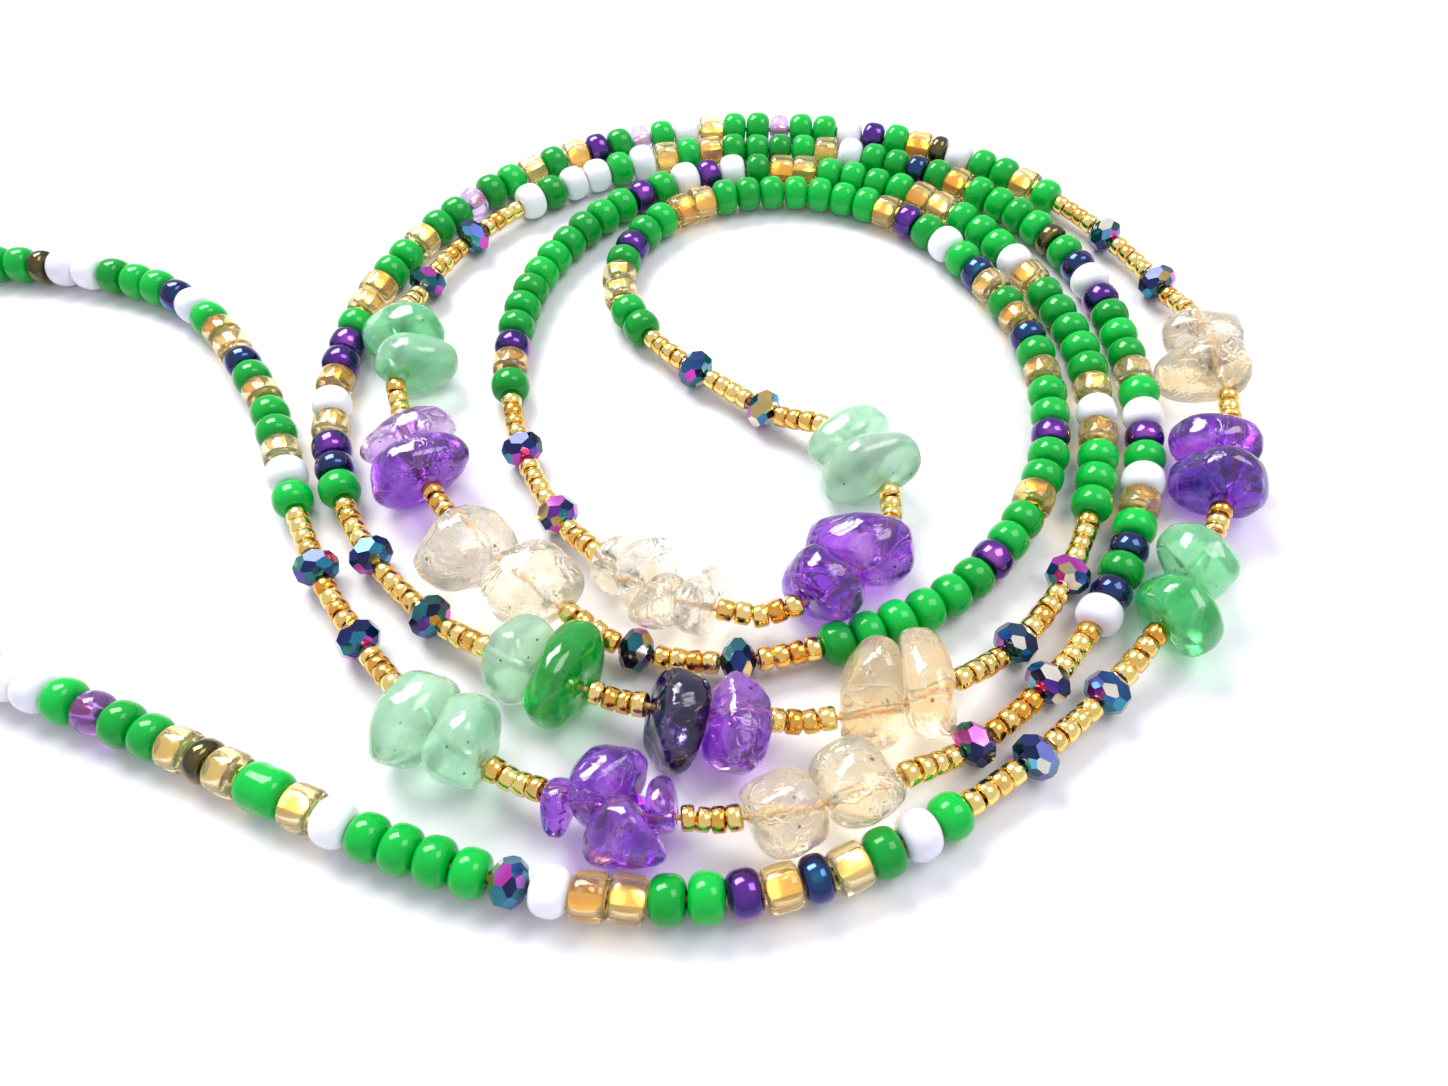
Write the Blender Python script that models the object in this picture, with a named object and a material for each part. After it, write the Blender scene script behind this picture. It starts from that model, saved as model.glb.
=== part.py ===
"""Waist beads: one closed loop of glass beads, crystals, small gold beads and drilled stone chips on a
thread, lying flat in a doubled spiral. Lengths are in millimetres here and in metres in the model."""

import math
from collections import namedtuple

import bmesh
import bpy
import numpy as np
from mathutils import Matrix, Vector

MM = 0.001

# Glass beads: green is the plain size, and the other colours are a little longer, shorter, fatter or thinner
BEAD_DIAMETER = 4.0
BEAD_LENGTH = 3.05
GROOVE_DEPTH = 0.65
BEAD_FORMS = {
    # colour: (length as a share of BEAD_LENGTH, diameter as a share of BEAD_DIAMETER)
    "g": (1.00, 1.000),
    "G": (1.50, 1.000),
    "w": (1.08, 1.020),
    "a": (0.98, 0.960),
    "p": (0.94, 0.975),
    "P": (1.02, 0.975),
    "b": (0.86, 0.960),
    "o": (0.72, 0.975),
    "l": (0.82, 0.930),
}

# Crystals, small gold beads and the thread
CRYSTAL_DIAMETER = 4.0
CRYSTAL_LENGTH = 3.4
CRYSTAL_END_DIAMETER = 2.2
SEED_DIAMETER = 1.9
SEED_LENGTH = 1.5
SEEDS_PER_STEM = 4
THREAD_DIAMETER = 0.5

# Fits
HOLE_CLEARANCE = 0.3
END_GAP = 0.3
SHOULDER_RUN = 0.12
CHIP_THREAD_HEIGHT = 3.5
CHIP_RISE_LENGTH = 7.0

# The clasp, a plain barrel that both ends of the thread go into
CLASP_DIAMETER = 4.0
CLASP_LENGTH = 9.0
CLASP_MOUTH_DIAMETER = 2.6
CLASP_NOSE_LENGTH = 1.2
CLASP_BORE_DEPTH = 2.0

# Fineness of the solids
STRING_SIDES = 10
CLASP_SIDES = 12
CHIP_SIDES = 10
CURVE_STEP = 0.4
SHARP_ANGLE = 60

# Where the middle of the finished loop's bounding box falls among the route's points
ORIGIN_AT = (-27.215, 15.658)

# The route of the thread as it lies, seen from above, from the clasp and back to it
ROUTE = [
    # the hidden end, then the outer run along the near side
    (-107.5, 18.0), (-107.5, 12.5), (-105.6, 7.5), (-100.5, 2.0), (-92.5, -2.0), (-82.0, -6.0), (-50.0, -18.5),
    (-26.0, -29.3), (-13.0, -33.0), (-0.5, -33.5), (11.0, -30.8), (29.5, -19.2), (43.0, -4.8),
    # up the right, the first row along the far side, and down the left
    (50.0, 10.0), (51.3, 18.0), (49.2, 34.0), (41.0, 48.8), (27.5, 59.8), (10.0, 64.7),
    (-8.8, 63.4), (-25.9, 54.7), (-37.3, 39.0), (-40.5, 20.5), (-35.3, 2.5), (-23.5, -10.3),
    # the second turn, ending in the third row
    (-6.0, -18.2), (13.5, -18.7), (27.5, -9.8), (36.0, 5.5), (38.3, 24.5), (31.8, 42.3),
    (26.0, 49.0), (18.4, 53.7), (9.5, 56.1), (0.5, 56.1), (-8.0, 52.5), (-15.0, 46.5),
    # down to the first group and round the innermost hook
    (-20.2, 38.0), (-22.3, 28.5), (-21.8, 18.5), (-19.2, 9.5), (-14.5, 1.2), (-8.2, -5.6),
    (-0.8, -8.7), (6.5, -8.4), (12.2, -5.0), (15.6, 0.8), (15.2, 6.6), (11.3, 11.7),
    (5.2, 15.7), (-7.6, 27.3), (-11.2, 34.8), (-10.0, 42.5), (-4.8, 48.6), (3.2, 51.7),
    # the fourth row and the inner strand on the right
    (11.5, 51.6), (19.0, 48.6), (25.2, 43.2), (33.0, 27.0), (32.0, 8.8), (21.0, -6.3),
    # through the second group and back along the far side
    (3.5, -12.9), (-5.5, -12.6), (-13.5, -9.0), (-27.4, 4.6), (-34.0, 21.5), (-34.3, 31.0),
    (-31.8, 39.8), (-26.4, 47.4), (-19.3, 53.4), (-10.7, 57.8), (-1.0, 60.3), (9.0, 60.4),
    (18.5, 58.4), (26.8, 54.6), (33.5, 49.2), (38.8, 42.0), (42.0, 33.0), (42.6, 13.5),
    # through the fourth group and out to the hidden end
    (34.8, -6.8), (20.5, -21.3), (0.5, -27.9), (-19.5, -23.1), (-34.5, -7.5), (-39.8, 1.5),
    (-48.5, 20.5), (-62.5, 36.0), (-93.0, 41.2), (-101.0, 36.8), (-105.8, 29.0), (-107.5, 23.5),
]

# The runs of glass beads between the stone groups, in order from the clasp, with a few hidden ones at each end
RUNS = [
    "gagwggpgabggwgagag" "wwgPggaoaGawggggXwaaggpabagwg",
    "gaggwoagpwgglggawglgpagagglggaggaag" "ppawapbg",
    "gggawagggggawgggaaggggaagwpwgpgggggggggpag",
    "ggaagpggaagggggggapgwgbagabgaggpggaggpgggggg",
    "wgwwgwagaggggawggbgaggggogbwpgggagwpgwagbgbw",
    "gwaggagbaagwbgggwwogg" "gagwggpgabg",
]

# A stone chip: its thickness along the thread, its width across it and its height, how far it sits to the left of
# its hole, how far it turns to the left, tilts back and rolls in degrees, and how much thicker its wide end is
Chip = namedtuple("Chip", "thickness width height offset lean tilt roll flare")

# Each group of stones: where its three clusters lie on the route, and the chips of each cluster in stringing order
CLUSTERS = [
    ("aventurine", (41.2, -7.4), [
        Chip(5.1, 8.3, 7.2, -0.5, -24, 14, 5, 0.0),
        Chip(5.1, 8.2, 6.8, 0.4, -24, 14, 0, 0.0),
    ]),
    ("amethyst", (48.7, 6.2), [
        Chip(4.7, 8.9, 7.6, 0.7, -1, 0, -1, 0.0),
        Chip(4.5, 9.3, 6.2, 1.6, -1, 0, -7, 0.0),
    ]),
    ("citrine", (51.2, 21.8), [
        Chip(4.9, 9.4, 7.4, 1.6, -6, 0, -10, 0.0),
        Chip(4.9, 9.0, 6.1, 0.1, -6, 0, -1, 0.0),
    ]),
    ("aventurine", (-15.8, -14.9), [
        Chip(4.3, 7.8, 7.0, 0.6, -3, 14, -6, 0.0),
        Chip(4.2, 9.5, 7.5, 0.4, -3, 14, 22, 0.0),
    ]),
    ("amethyst", (-1.5, -18.9), [
        Chip(4.4, 9.0, 6.8, -0.3, 5, -28, -2, 0.0),
        Chip(4.7, 8.8, 7.5, -0.4, 5, -28, 9, 0.0),
    ]),
    ("citrine", (14.4, -18.4), [
        Chip(5.3, 9.2, 7.3, 2.0, -18, 3, 17, 0.0),
        Chip(4.5, 9.7, 7.3, 0.8, -18, 3, 9, 0.0),
    ]),
    ("citrine", (-6.4, -6.8), [
        Chip(2.5, 6.0, 5.7, 0.8, -3, 29, 4, 0.0),
        Chip(2.8, 7.5, 6.6, 1.5, -3, 26, -8, 0.0),
        Chip(2.7, 5.7, 4.5, -0.6, -3, 26, -21, 2.0),
        Chip(2.7, 8.0, 5.8, 1.2, -3, 29, -20, 0.0),
    ]),
    ("amethyst", (12.0, -5.2), [
        Chip(5.6, 8.1, 7.2, 0.8, 24, 5, -5, 0.0),
        Chip(5.4, 10.6, 7.1, 1.0, 24, 5, -2, 0.0),
    ]),
    ("aventurine", (13.9, 8.8), [
        Chip(4.4, 10.1, 7.4, 0.8, -13, 0, -12, 0.0),
        Chip(4.3, 9.5, 6.2, -0.6, -13, 0, 1, 0.0),
    ]),
    ("citrine", (-20.0, -3.8), [
        Chip(7.0, 9.4, 6.9, 0.0, -16, 6, 2, 0.0),
        Chip(6.8, 9.6, 7.2, 1.3, -16, 6, 4, 0.0),
    ]),
    ("amethyst", (-30.3, 9.8), [
        Chip(4.2, 9.9, 7.6, 0.4, 4, 2, -16, 0.0),
        Chip(4.1, 9.6, 6.5, -0.2, 4, 2, 5, 0.0),
    ]),
    ("aventurine", (-34.4, 24.6), [
        Chip(4.5, 8.2, 7.0, -2.1, -1, -2, -10, 0.0),
        Chip(4.5, 8.8, 7.1, -0.6, -1, -2, 3, 0.0),
    ]),
    ("citrine", (7.4, -26.9), [
        Chip(6.2, 6.9, 6.7, -0.8, 14, -1, 4, 0.0),
        Chip(6.0, 7.6, 6.2, -0.1, 14, -1, 32, 0.0),
    ]),
    ("amethyst", (-9.4, -27.1), [
        Chip(2.2, 5.1, 4.4, -0.8, 7, -10, 20, 0.0),
        Chip(2.4, 6.3, 6.7, 1.2, 6, -17, 0, 4.2),
        Chip(2.6, 6.3, 7.2, -1.5, 6, -17, -6, 4.2),
        Chip(2.3, 4.8, 4.0, 0.8, 7, -10, 12, 0.0),
    ]),
    ("aventurine", (-23.8, -20.3), [
        Chip(4.9, 8.2, 7.2, -0.4, 17, -1, 5, 0.0),
        Chip(5.1, 9.2, 6.9, 0.7, 17, -1, -12, 0.0),
    ]),
]
CLUSTERS_PER_GROUP = 3

# How far a chip's outline swells and sinks from an oval, how far that pattern turns from one chip to the next,
# where a chip's shoulders stand as a share of its thickness from the middle, and how far above the table a chip's
# rim may hang before it is set down on it
CHIP_LOBES = (0.07, 0.05)
CHIP_TURN = 1.7
CHIP_SHOULDER = 0.25
HANG_HEIGHT = 1.0

# Where the two halves of the string meet: after this many beads of the third run
MEETING_RUN = 2
MEETING_BEADS = 38

# Colours as red, green and blue, with roughness and metallic values
FINISHES = {
    "glass": ((0.02, 0.42, 0.10), 0.12, 0.0),
    "amethyst": ((0.28, 0.10, 0.55), 0.15, 0.0),
    "citrine": ((0.86, 0.72, 0.50), 0.15, 0.0),
    "aventurine": ((0.35, 0.68, 0.48), 0.20, 0.0),
    "gold": ((0.86, 0.60, 0.16), 0.25, 1.0),
}


def clear_scene():
    for old in list(bpy.data.objects):
        bpy.data.objects.remove(old, do_unlink=True)


def finish(name):
    colour, roughness, metallic = FINISHES[name]
    material = bpy.data.materials.new(name)
    material.use_nodes = True
    shader = material.node_tree.nodes["Principled BSDF"]
    shader.inputs["Base Color"].default_value = (*colour, 1.0)
    shader.inputs["Roughness"].default_value = roughness
    shader.inputs["Metallic"].default_value = metallic
    return material


class Route:
    """A smooth closed curve through the route's points, read by its length from the clasp."""

    def __init__(self, points):
        places = self.smooth(np.array(points, float) - np.array(ORIGIN_AT))
        runs = np.linalg.norm(np.diff(places, axis=0), axis=1)
        self.places = places
        self.along = np.concatenate([[0.0], np.cumsum(runs)])
        self.length = self.along[-1]
        self.raised = []

    @staticmethod
    def smooth(points):
        count = len(points)
        places = []
        for i in range(count):
            before, start, end, after = (points[(i + k) % count] for k in (-1, 0, 1, 2))
            gaps = [math.sqrt(np.linalg.norm(b - a)) for a, b in ((before, start), (start, end), (end, after))]
            leave = (start - before) / gaps[0] - (end - before) / (gaps[0] + gaps[1]) + (end - start) / gaps[1]
            arrive = (end - start) / gaps[1] - (after - start) / (gaps[1] + gaps[2]) + (after - end) / gaps[2]
            steps = max(2, round(np.linalg.norm(end - start) / CURVE_STEP))
            for u in np.arange(steps) / steps:
                places.append(
                    (2 * u**3 - 3 * u**2 + 1) * start
                    + (u**3 - 2 * u**2 + u) * gaps[1] * leave
                    + (3 * u**2 - 2 * u**3) * end
                    + (u**3 - u**2) * gaps[1] * arrive
                )
        places.append(places[0])
        return np.array(places)

    def nearest(self, point):
        offsets = self.places - (np.array(point) - np.array(ORIGIN_AT))
        return self.along[np.linalg.norm(offsets, axis=1).argmin()]

    def raise_over(self, start, end):
        """Notes a stretch where the thread runs at the height of the holes in the chips."""
        self.raised.append((start, end))

    def height(self, s):
        lift = 0.0
        for start, end in self.raised:
            away = max(start - s, s - end, 0.0) / CHIP_RISE_LENGTH
            if away < 1.0:
                lift = max(lift, 1.0 - away * away * (3.0 - 2.0 * away))
        low = facet_height(widest_bead() / 2, STRING_SIDES)
        return low + (CHIP_THREAD_HEIGHT - low) * lift

    def at(self, s):
        x = np.interp(s, self.along, self.places[:, 0])
        y = np.interp(s, self.along, self.places[:, 1])
        return Vector((x, y, self.height(s)))

    def direction(self, s):
        return (self.at(s + CURVE_STEP) - self.at(s - CURVE_STEP)).normalized()


def widest_bead():
    return max(CRYSTAL_DIAMETER, *(BEAD_DIAMETER * share for _, share in BEAD_FORMS.values()))


def facet_height(radius, sides):
    """How far a ring's axis stands above its lowest facet."""
    return radius * math.cos(math.pi / sides)


def length_of(kind):
    if kind == "s":
        return SEED_LENGTH
    if kind == "X":
        return CRYSTAL_LENGTH
    return BEAD_LENGTH * BEAD_FORMS[kind][0]


def ring(centre, direction, radius, sides):
    """Corners of a round section, turned so that one facet faces straight down."""
    side = Vector((0.0, 0.0, 1.0)).cross(direction).normalized()
    up = direction.cross(side)
    turn = 2.0 * math.pi / sides
    angles = [-math.pi / 2 + turn * (k + 0.5) for k in range(sides)]
    return [centre + side * (math.cos(a) * radius) + up * (math.sin(a) * radius) for a in angles]


def loft(mesh, rings, closed):
    """Joins rings of corners into a skin: a closed skin joins the last ring to the first, an open one is capped."""
    loops = [[mesh.verts.new(corner * MM) for corner in corners] for corners in rings]
    pairs = list(zip(loops, loops[1:]))
    if closed:
        pairs.append((loops[-1], loops[0]))
    for first, second in pairs:
        for k in range(len(first)):
            j = (k + 1) % len(first)
            mesh.faces.new((first[k], first[j], second[j], second[k]))
    if not closed:
        mesh.faces.new(list(reversed(loops[0])))
        mesh.faces.new(loops[-1])


def make_object(name, rings, closed, material):
    mesh = bmesh.new()
    loft(mesh, rings, closed)
    bmesh.ops.recalc_face_normals(mesh, faces=mesh.faces)
    bmesh.ops.triangulate(mesh, faces=mesh.faces)
    data = bpy.data.meshes.new(name)
    mesh.to_mesh(data)
    mesh.free()
    data.shade_smooth()
    data.set_sharp_from_angle(angle=math.radians(SHARP_ANGLE))
    data.materials.append(material)
    piece = bpy.data.objects.new(name, data)
    bpy.context.collection.objects.link(piece)
    return piece


def stem():
    return "s" * SEEDS_PER_STEM


def chain():
    """Everything on the thread in order: letters for beads, and numbers for the clusters of chips."""
    cross = stem() + "X"
    order = list(RUNS[0])
    for group in range(len(CLUSTERS) // CLUSTERS_PER_GROUP):
        order += list(cross + cross + stem())
        for k in range(CLUSTERS_PER_GROUP):
            if k:
                order += list(stem())
            order.append(group * CLUSTERS_PER_GROUP + k)
        order += list(stem() + "X" + stem() + "X" + stem())
        order += list(RUNS[group + 1])
    return order


def cluster_length(index):
    chips = CLUSTERS[index][2]
    return sum(chip.thickness for chip in chips) + END_GAP * (len(chips) + 1)


def lay_out(route):
    """Gives each thing on the thread its start and end: clusters sit where they are listed, and the beads
    between two clusters share out what is left."""
    spans = []
    waiting = []
    here = CLASP_LENGTH / 2 + END_GAP

    def place_waiting(end):
        nonlocal here
        share = (end - here) / sum(length_of(kind) for kind in waiting)
        for kind in waiting:
            reach = here + length_of(kind) * share
            spans.append((kind, here, reach))
            here = reach
        waiting.clear()

    for item in chain():
        if isinstance(item, str):
            waiting.append(item)
            continue
        middle = route.nearest(CLUSTERS[item][1])
        half = cluster_length(item) / 2
        place_waiting(middle - half)
        spans.append((item, middle - half, middle + half))
        route.raise_over(middle - half, middle + half)
        here = middle + half
    place_waiting(route.length - CLASP_LENGTH / 2 - END_GAP)
    return spans


def chip_bounds(index, start):
    """The chips of a cluster with their starts and ends along the thread."""
    here = start + END_GAP
    bounds = []
    for chip in CLUSTERS[index][2]:
        bounds.append((chip, here, here + chip.thickness))
        here += chip.thickness + END_GAP
    return bounds


def belly(kind):
    return CRYSTAL_DIAMETER / 2 if kind == "X" else BEAD_DIAMETER / 2 * BEAD_FORMS[kind][1]


def neck(first, second):
    """Radius of the string where one thing on the thread meets the next."""
    if "s" in (first, second):
        return SEED_DIAMETER / 2
    if "X" in (first, second):
        return CRYSTAL_END_DIAMETER / 2
    return min(belly(first), belly(second)) - GROOVE_DEPTH


def shouldered(beads):
    """Sections of an unbroken stretch of beads, with the bare thread just beside both ends. A stem of small
    beads is a plain tube, and any other bead has its widest section in the middle."""
    thread = THREAD_DIAMETER / 2
    first_kind, start, _ = beads[0]
    last_kind, _, end = beads[-1]
    sections = [(start - SHOULDER_RUN, thread), (start, neck(first_kind, first_kind))]
    for (kind, low, high), following in zip(beads, beads[1:] + [None]):
        if kind != "s":
            sections.append(((low + high) / 2, belly(kind)))
        if following and (kind, following[0]) != ("s", "s"):
            sections.append((high, neck(kind, following[0])))
    return sections + [(end, neck(last_kind, last_kind)), (end + SHOULDER_RUN, thread)]


def string_sections(spans, route):
    """Sections along the whole string as (place, radius), from one end inside the clasp to the other."""
    thread = THREAD_DIAMETER / 2
    thread_end = CLASP_LENGTH / 2 - CLASP_BORE_DEPTH + END_GAP
    sections = [(thread_end, thread)]
    stretch = []
    for item, start, end in spans:
        if isinstance(item, str):
            stretch.append((item, start, end))
            continue
        sections += shouldered(stretch)
        stretch = []
        sections += [(low - END_GAP / 2, thread) for _, low, _ in chip_bounds(item, start)[1:]]
    return sections + shouldered(stretch) + [(route.length - thread_end, thread)]


def meeting_place(spans):
    """Where the halves of the string meet: the groove after a chosen bead of a chosen run."""
    clusters = [k for k, span in enumerate(spans) if isinstance(span[0], int)]
    following = spans[clusters[MEETING_RUN * CLUSTERS_PER_GROUP - 1] + 1:]
    beads = [span for span in following if isinstance(span[0], str) and span[0] not in "sX"]
    return beads[MEETING_BEADS - 1][2]


def make_strings(spans, route, material):
    sections = string_sections(spans, route)
    meeting = meeting_place(spans)
    facing = [radius for place, radius in sections if place == meeting][0]
    outer = [section for section in sections if section[0] < meeting] + [(meeting - END_GAP / 2, facing)]
    inner = [(meeting + END_GAP / 2, facing)] + [section for section in sections if section[0] > meeting]
    for name, half in (("bead_string_outer", outer), ("bead_string_inner", inner)):
        rings = [ring(route.at(place), route.direction(place), radius, STRING_SIDES) for place, radius in half]
        make_object(name, rings, False, material)


def chip_outline(chip, phase):
    """An uneven oval round a chip's hole, as (distance to the left, height from the middle)."""
    roll = math.radians(chip.roll)
    outline = []
    for k in range(CHIP_SIDES):
        angle = 2.0 * math.pi * (k + 0.5) / CHIP_SIDES - math.pi / 2
        swell = 1.0 + CHIP_LOBES[0] * math.cos(2 * angle + phase) + CHIP_LOBES[1] * math.sin(3 * angle + 2 * phase)
        wide = math.cos(angle - roll) * chip.width / 2 * swell
        tall = math.sin(angle - roll) * chip.height / 2 * swell
        outline.append((chip.offset + wide * math.cos(roll) - tall * math.sin(roll),
                        wide * math.sin(roll) + tall * math.cos(roll)))
    return outline


def chip_rings(chip, low, high, route, phase):
    """A drilled pebble: two hole mouths on its faces and two shoulders round its rim. It stands on z = 0, or hangs
    on the thread where it is too small to reach down."""
    start, end = route.at(low), route.at(high)
    middle = (start + end) / 2
    axis = (end - start).normalized()
    up = Vector((0.0, 0.0, 1.0))
    level = Matrix.Rotation(math.radians(chip.lean), 3, "Z") @ Vector((axis.x, axis.y, 0.0)).normalized()
    left = up.cross(level)
    tilt = math.radians(chip.tilt)
    face = level * math.cos(tilt) + up * math.sin(tilt)
    top = up * math.cos(tilt) - level * math.sin(tilt)
    widest = math.copysign(chip.width / 2 + abs(chip.offset), chip.offset)
    rims = []
    for side in (-1.0, 1.0):
        rims.append([])
        for across, height in chip_outline(chip, phase):
            reach = side * chip.thickness * CHIP_SHOULDER * (1.0 + chip.flare * max(0.0, across / widest))
            rims[-1].append(middle + face * reach + left * across + top * height)
    lowest = min(corner.z for corners in rims for corner in corners)
    drop = lowest if lowest < HANG_HEIGHT else 0.0
    rims = [[corner - up * drop for corner in corners] for corners in rims]
    hole = THREAD_DIAMETER / 2 + HOLE_CLEARANCE
    ends = (-chip.thickness / 2, chip.thickness / 2)
    mouths = [ring(middle + axis * reach, axis, hole, CHIP_SIDES) for reach in ends]
    return [mouths[0], *rims, mouths[1]]


def make_chips(spans, route, materials):
    counts = {}
    for item, start, _ in spans:
        if isinstance(item, str):
            continue
        stone = CLUSTERS[item][0]
        for chip, low, high in chip_bounds(item, start):
            counts[stone] = counts.get(stone, 0) + 1
            rings = chip_rings(chip, low, high, route, CHIP_TURN * counts[stone])
            make_object(f"{stone}_chip_{counts[stone]:02d}", rings, True, materials[stone])


def make_clasp(route, material):
    """A barrel drilled blind at both ends, lying across the clasp's point of the route."""
    half = CLASP_LENGTH / 2
    bore = THREAD_DIAMETER / 2 + HOLE_CLEARANCE
    nose = half - CLASP_NOSE_LENGTH
    depth = half - CLASP_BORE_DEPTH
    outside = [(-half, CLASP_MOUTH_DIAMETER / 2), (-nose, CLASP_DIAMETER / 2), (nose, CLASP_DIAMETER / 2),
               (half, CLASP_MOUTH_DIAMETER / 2)]
    sections = [(-depth, bore), (-half, bore), *outside, (half, bore), (depth, bore)]
    centre = route.at(0.0)
    centre.z = facet_height(CLASP_DIAMETER / 2, CLASP_SIDES)
    axis = route.at(half) - route.at(-half + route.length)
    axis = Vector((axis.x, axis.y, 0.0)).normalized()
    rings = [ring(centre + axis * reach, axis, radius, CLASP_SIDES) for reach, radius in sections]
    make_object("barrel_clasp", rings, False, material)


def build():
    clear_scene()
    materials = {name: finish(name) for name in FINISHES}
    route = Route(ROUTE)
    spans = lay_out(route)
    make_strings(spans, route, materials["glass"])
    make_chips(spans, route, materials)
    make_clasp(route, materials["gold"])


build()
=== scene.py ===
"""The looks of the waist beads: glass beads, crystals, small gold beads and stone chips on a thread, lying in a
doubled spiral on a white table. The layout repeats the CAD part's. Lengths are in millimetres until a mesh is
made, and in metres in Blender."""

import math
import random
from collections import namedtuple

import bmesh
import bpy
import numpy as np
from mathutils import Matrix, Vector, noise


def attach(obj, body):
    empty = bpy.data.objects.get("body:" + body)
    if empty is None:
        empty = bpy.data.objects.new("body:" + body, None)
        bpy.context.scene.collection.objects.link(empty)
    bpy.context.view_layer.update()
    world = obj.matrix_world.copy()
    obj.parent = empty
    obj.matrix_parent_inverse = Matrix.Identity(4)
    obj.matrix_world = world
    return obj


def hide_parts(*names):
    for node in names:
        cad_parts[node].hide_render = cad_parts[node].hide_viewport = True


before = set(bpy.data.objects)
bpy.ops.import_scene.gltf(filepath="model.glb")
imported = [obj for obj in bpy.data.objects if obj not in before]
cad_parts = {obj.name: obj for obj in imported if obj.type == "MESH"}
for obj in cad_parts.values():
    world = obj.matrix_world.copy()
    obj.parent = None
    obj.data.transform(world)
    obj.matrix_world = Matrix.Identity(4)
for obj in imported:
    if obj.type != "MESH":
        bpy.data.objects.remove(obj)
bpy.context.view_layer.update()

MM = 0.001

# The layout, as in the CAD part

BEAD_DIAMETER = 4.0
BEAD_LENGTH = 3.05
# Each kind of bead by its letter, with its length and its width as shares of a green bead's: green, long green,
# white, gold glass, violet, plum, blue, olive and lilac. X stands for a crystal, and s for a small gold bead
BEAD_FORMS = {
    "g": (1.00, 1.000),
    "G": (1.50, 1.000),
    "w": (1.08, 1.020),
    "a": (0.98, 0.960),
    "p": (0.94, 0.975),
    "P": (1.02, 0.975),
    "b": (0.86, 0.960),
    "o": (0.72, 0.975),
    "l": (0.82, 0.930),
}
CRYSTAL_DIAMETER = 4.0
CRYSTAL_LENGTH = 3.4
SEED_LENGTH = 1.5
SEEDS_PER_STEM = 4
THREAD_DIAMETER = 0.5
END_GAP = 0.3
CHIP_THREAD_HEIGHT = 3.5
CHIP_RISE_LENGTH = 7.0
STRING_SIDES = 10
CLASP_DIAMETER = 4.0
CLASP_LENGTH = 9.0
CLASP_SIDES = 12
CURVE_STEP = 0.4
ORIGIN_AT = (-27.215, 15.658)

# The points that the string runs through, from the clasp along the outer half, and back along the inner half
ROUTE = [
    (-107.5, 18.0), (-107.5, 12.5), (-105.6, 7.5), (-100.5, 2.0), (-92.5, -2.0), (-82.0, -6.0), (-50.0, -18.5),
    (-26.0, -29.3), (-13.0, -33.0), (-0.5, -33.5), (11.0, -30.8), (29.5, -19.2), (43.0, -4.8),
    (50.0, 10.0), (51.3, 18.0), (49.2, 34.0), (41.0, 48.8), (27.5, 59.8), (10.0, 64.7),
    (-8.8, 63.4), (-25.9, 54.7), (-37.3, 39.0), (-40.5, 20.5), (-35.3, 2.5), (-23.5, -10.3),
    (-6.0, -18.2), (13.5, -18.7), (27.5, -9.8), (36.0, 5.5), (38.3, 24.5), (31.8, 42.3),
    (26.0, 49.0), (18.4, 53.7), (9.5, 56.1), (0.5, 56.1), (-8.0, 52.5), (-15.0, 46.5),
    (-20.2, 38.0), (-22.3, 28.5), (-21.8, 18.5), (-19.2, 9.5), (-14.5, 1.2), (-8.2, -5.6),
    (-0.8, -8.7), (6.5, -8.4), (12.2, -5.0), (15.6, 0.8), (15.2, 6.6), (11.3, 11.7),
    (5.2, 15.7), (-7.6, 27.3), (-11.2, 34.8), (-10.0, 42.5), (-4.8, 48.6), (3.2, 51.7),
    (11.5, 51.6), (19.0, 48.6), (25.2, 43.2), (33.0, 27.0), (32.0, 8.8), (21.0, -6.3),
    (3.5, -12.9), (-5.5, -12.6), (-13.5, -9.0), (-27.4, 4.6), (-34.0, 21.5), (-34.3, 31.0),
    (-31.8, 39.8), (-26.4, 47.4), (-19.3, 53.4), (-10.7, 57.8), (-1.0, 60.3), (9.0, 60.4),
    (18.5, 58.4), (26.8, 54.6), (33.5, 49.2), (38.8, 42.0), (42.0, 33.0), (42.6, 13.5),
    (34.8, -6.8), (20.5, -21.3), (0.5, -27.9), (-19.5, -23.1), (-34.5, -7.5), (-39.8, 1.5),
    (-48.5, 20.5), (-62.5, 36.0), (-93.0, 41.2), (-101.0, 36.8), (-105.8, 29.0), (-107.5, 23.5),
]

# The beads before, between and after the groups of stones, in stringing order
RUNS = [
    "gagwggpgabggwgagag" "wwgPggaoaGawggggXwaaggpabagwg",
    "gaggwoagpwgglggawglgpagagglggaggaag" "ppawapbg",
    "gggawagggggawgggaaggggaagwpwgpgggggggggpag",
    "ggaagpggaagggggggapgwgbagabgaggpggaggpgggggg",
    "wgwwgwagaggggawggbgaggggogbwpgggagwpgwagbgbw",
    "gwaggagbaagwbgggwwogg" "gagwggpgabg",
]

# A stone chip: its thickness along the thread, its width across it and its height, how far it sits to the left of
# its hole, how far it turns to the left, tilts back and rolls in degrees, and how much thicker its wide end is, if
# it has one
Chip = namedtuple("Chip", "thickness width height offset lean tilt roll flare", defaults=[0.0])

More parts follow.
